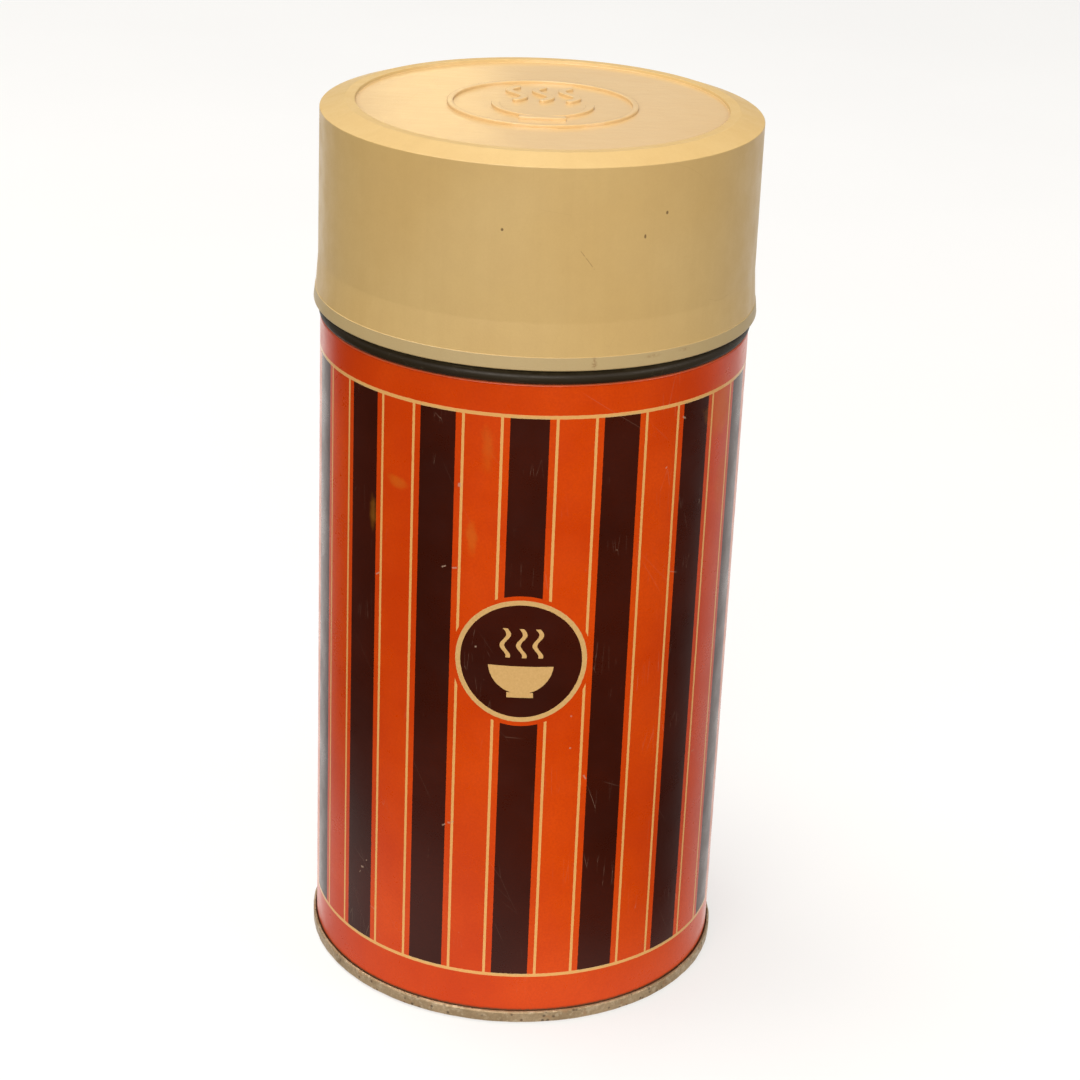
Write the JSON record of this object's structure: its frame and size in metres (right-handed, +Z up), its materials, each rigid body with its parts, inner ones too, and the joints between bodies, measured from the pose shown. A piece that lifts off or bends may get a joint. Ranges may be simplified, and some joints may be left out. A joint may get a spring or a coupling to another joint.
{
  "type": "vacuum food flask",
  "caption": "Wide-mouth vacuum food flask: printed steel jacket round a double-wall glass, dark threaded collar, screw stopper and a cream screw-on cup that is also the lid.",
  "frame": {"origin": "centre of the base, on the plane it rests on", "axes": "+Z up along the axis of revolution, front of the jacket faces -Y"},
  "size_m": [0.0882, 0.0882, 0.1818],
  "materials": {
    "printed_steel": "satin litho print, dark brown and cream on orange",
    "rim_steel": "worn tinplate",
    "cream_plastic": "satin moulded, slightly yellowed",
    "liner_plastic": "gloss",
    "dark_plastic": "semi-gloss, scuffed",
    "stopper_plastic": "satin",
    "rubber": "matt",
    "foam": "cellular foam",
    "spacer_board": "fibre pad",
    "clear_glass": "blown, silvered on the vacuum side",
    "silvered_glass": "blown, silvered on the vacuum side"
  },
  "bodies": {
    "flask": {"case_tube": "printed_steel", "base_cap": "rim_steel", "base_cushion": "rubber", "outer_glass": "clear_glass", "inner_glass": "silvered_glass", "glass_spacers": "spacer_board", "filler_seal": "rubber", "neck_collar": "dark_plastic"},
    "cup_lift": {"cup_liner": "liner_plastic"},
    "cup": {"cup_shell": "cream_plastic"},
    "stopper_lift": {"stopper_gasket": "rubber"},
    "stopper": {"stopper_body": "stopper_plastic", "stopper_core": "foam", "stopper_plate": "stopper_plastic"}
  },
  "joints": [
    {"name": "cup_rise", "type": "slide", "parent": "flask", "child": "cup_lift", "axis": [0, 0, 1], "range_m": [0, 0.0241]},
    {"name": "cup_turn", "type": "hinge", "parent": "cup_lift", "child": "cup", "pos_m": [0, 0, 0.16], "axis": [0, 0, 1], "range_deg": [0, 1440]},
    {"name": "stopper_rise", "type": "slide", "parent": "flask", "child": "stopper_lift", "axis": [0, 0, 1], "range_m": [0, 0.019]},
    {"name": "stopper_turn", "type": "hinge", "parent": "stopper_lift", "child": "stopper", "pos_m": [0, 0, 0.15], "axis": [0, 0, 1], "range_deg": [0, 1080]}
  ],
  "couplings": [
    {"joint": "cup_rise", "follows": "cup_turn", "m_per_rad": 0.00095493},
    {"joint": "stopper_rise", "follows": "stopper_turn", "m_per_rad": 0.0010027}
  ]
}
